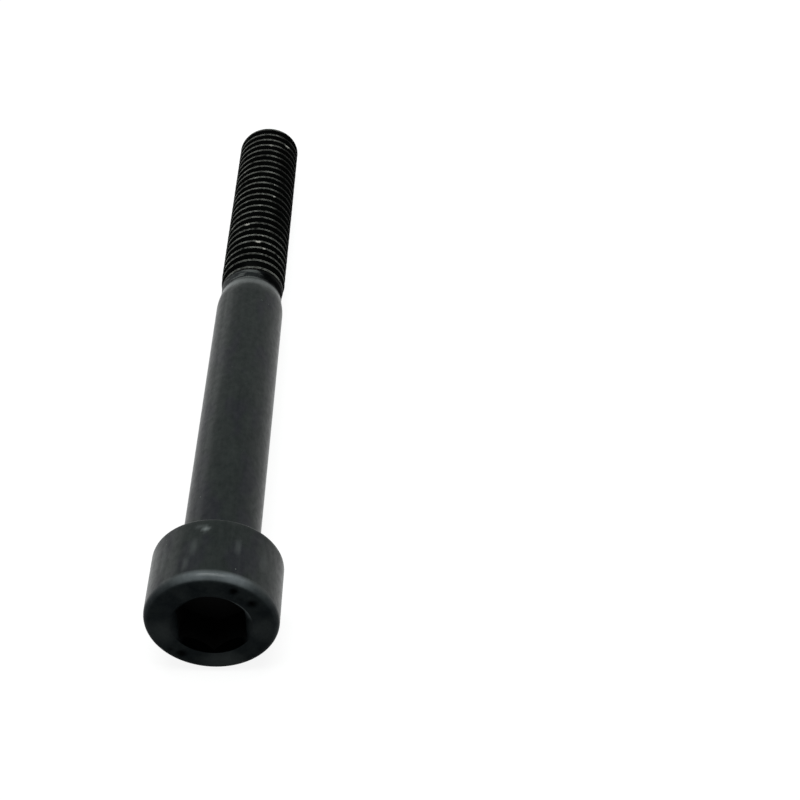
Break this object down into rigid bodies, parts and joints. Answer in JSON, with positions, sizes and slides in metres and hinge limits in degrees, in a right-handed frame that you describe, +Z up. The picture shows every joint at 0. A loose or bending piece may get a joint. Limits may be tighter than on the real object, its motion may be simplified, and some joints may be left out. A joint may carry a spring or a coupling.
{
  "type": "hex socket cap screw",
  "caption": "Partly threaded cap screw with a round head, hexagon socket, plain shank, necked run-out and rolled metric thread, finished black.",
  "frame": {"origin": "centre of the bearing face under the head, on the screw's axis", "axes": "+Y runs along the lying screw towards its tip, dipping about 2 degrees as it rests on head rim and thread; +Z is up from the floor it lies on"},
  "size_m": [0.01, 0.0661, 0.0102],
  "materials": {
    "black_steel": "satin black oxide on forged and rolled steel"
  },
  "bodies": {
    "root": {"cap_screw": "black_steel"}
  },
  "joints": []
}
